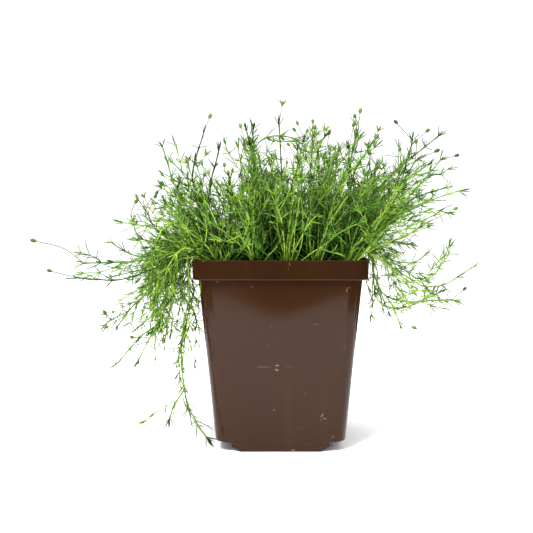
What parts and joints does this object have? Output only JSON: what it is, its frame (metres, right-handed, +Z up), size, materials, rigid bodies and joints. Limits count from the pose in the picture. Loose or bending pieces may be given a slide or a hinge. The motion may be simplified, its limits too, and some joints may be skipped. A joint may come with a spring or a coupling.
{
  "type": "potted irish moss",
  "caption": "Square tapering nursery pot of soil, overgrown by a cushion of fine branching moss stems with needle leaves and seed capsules that droop over the rim.",
  "frame": {"origin": "middle of the pot's foot, on the ground", "axes": "+Z up along the pot's middle, -Y out of the front wall, +X to the right seen from the front"},
  "size_m": [0.2906, 0.2007, 0.2238],
  "materials": {
    "pot": "satin moulded plastic",
    "soil": "matt potting compost",
    "moss": "satin living stems and leaves"
  },
  "bodies": {
    "root": {"pot": "pot", "soil": "soil", "moss_tuft_00": "moss", "moss_tuft_01": "moss", "moss_tuft_02": "moss", "moss_tuft_03": "moss", "moss_tuft_04": "moss", "moss_tuft_05": "moss", "moss_tuft_06": "moss", "moss_tuft_07": "moss", "moss_tuft_08": "moss", "moss_tuft_09": "moss", "moss_tuft_10": "moss", "moss_tuft_11": "moss", "moss_tuft_12": "moss", "moss_tuft_13": "moss", "moss_tuft_14": "moss", "moss_tuft_15": "moss", "moss_tuft_16": "moss", "moss_tuft_17": "moss", "moss_tuft_18": "moss", "moss_tuft_19": "moss", "moss_tuft_20": "moss", "moss_tuft_21": "moss", "moss_tuft_22": "moss", "moss_tuft_23": "moss", "moss_tuft_24": "moss"}
  },
  "joints": []
}
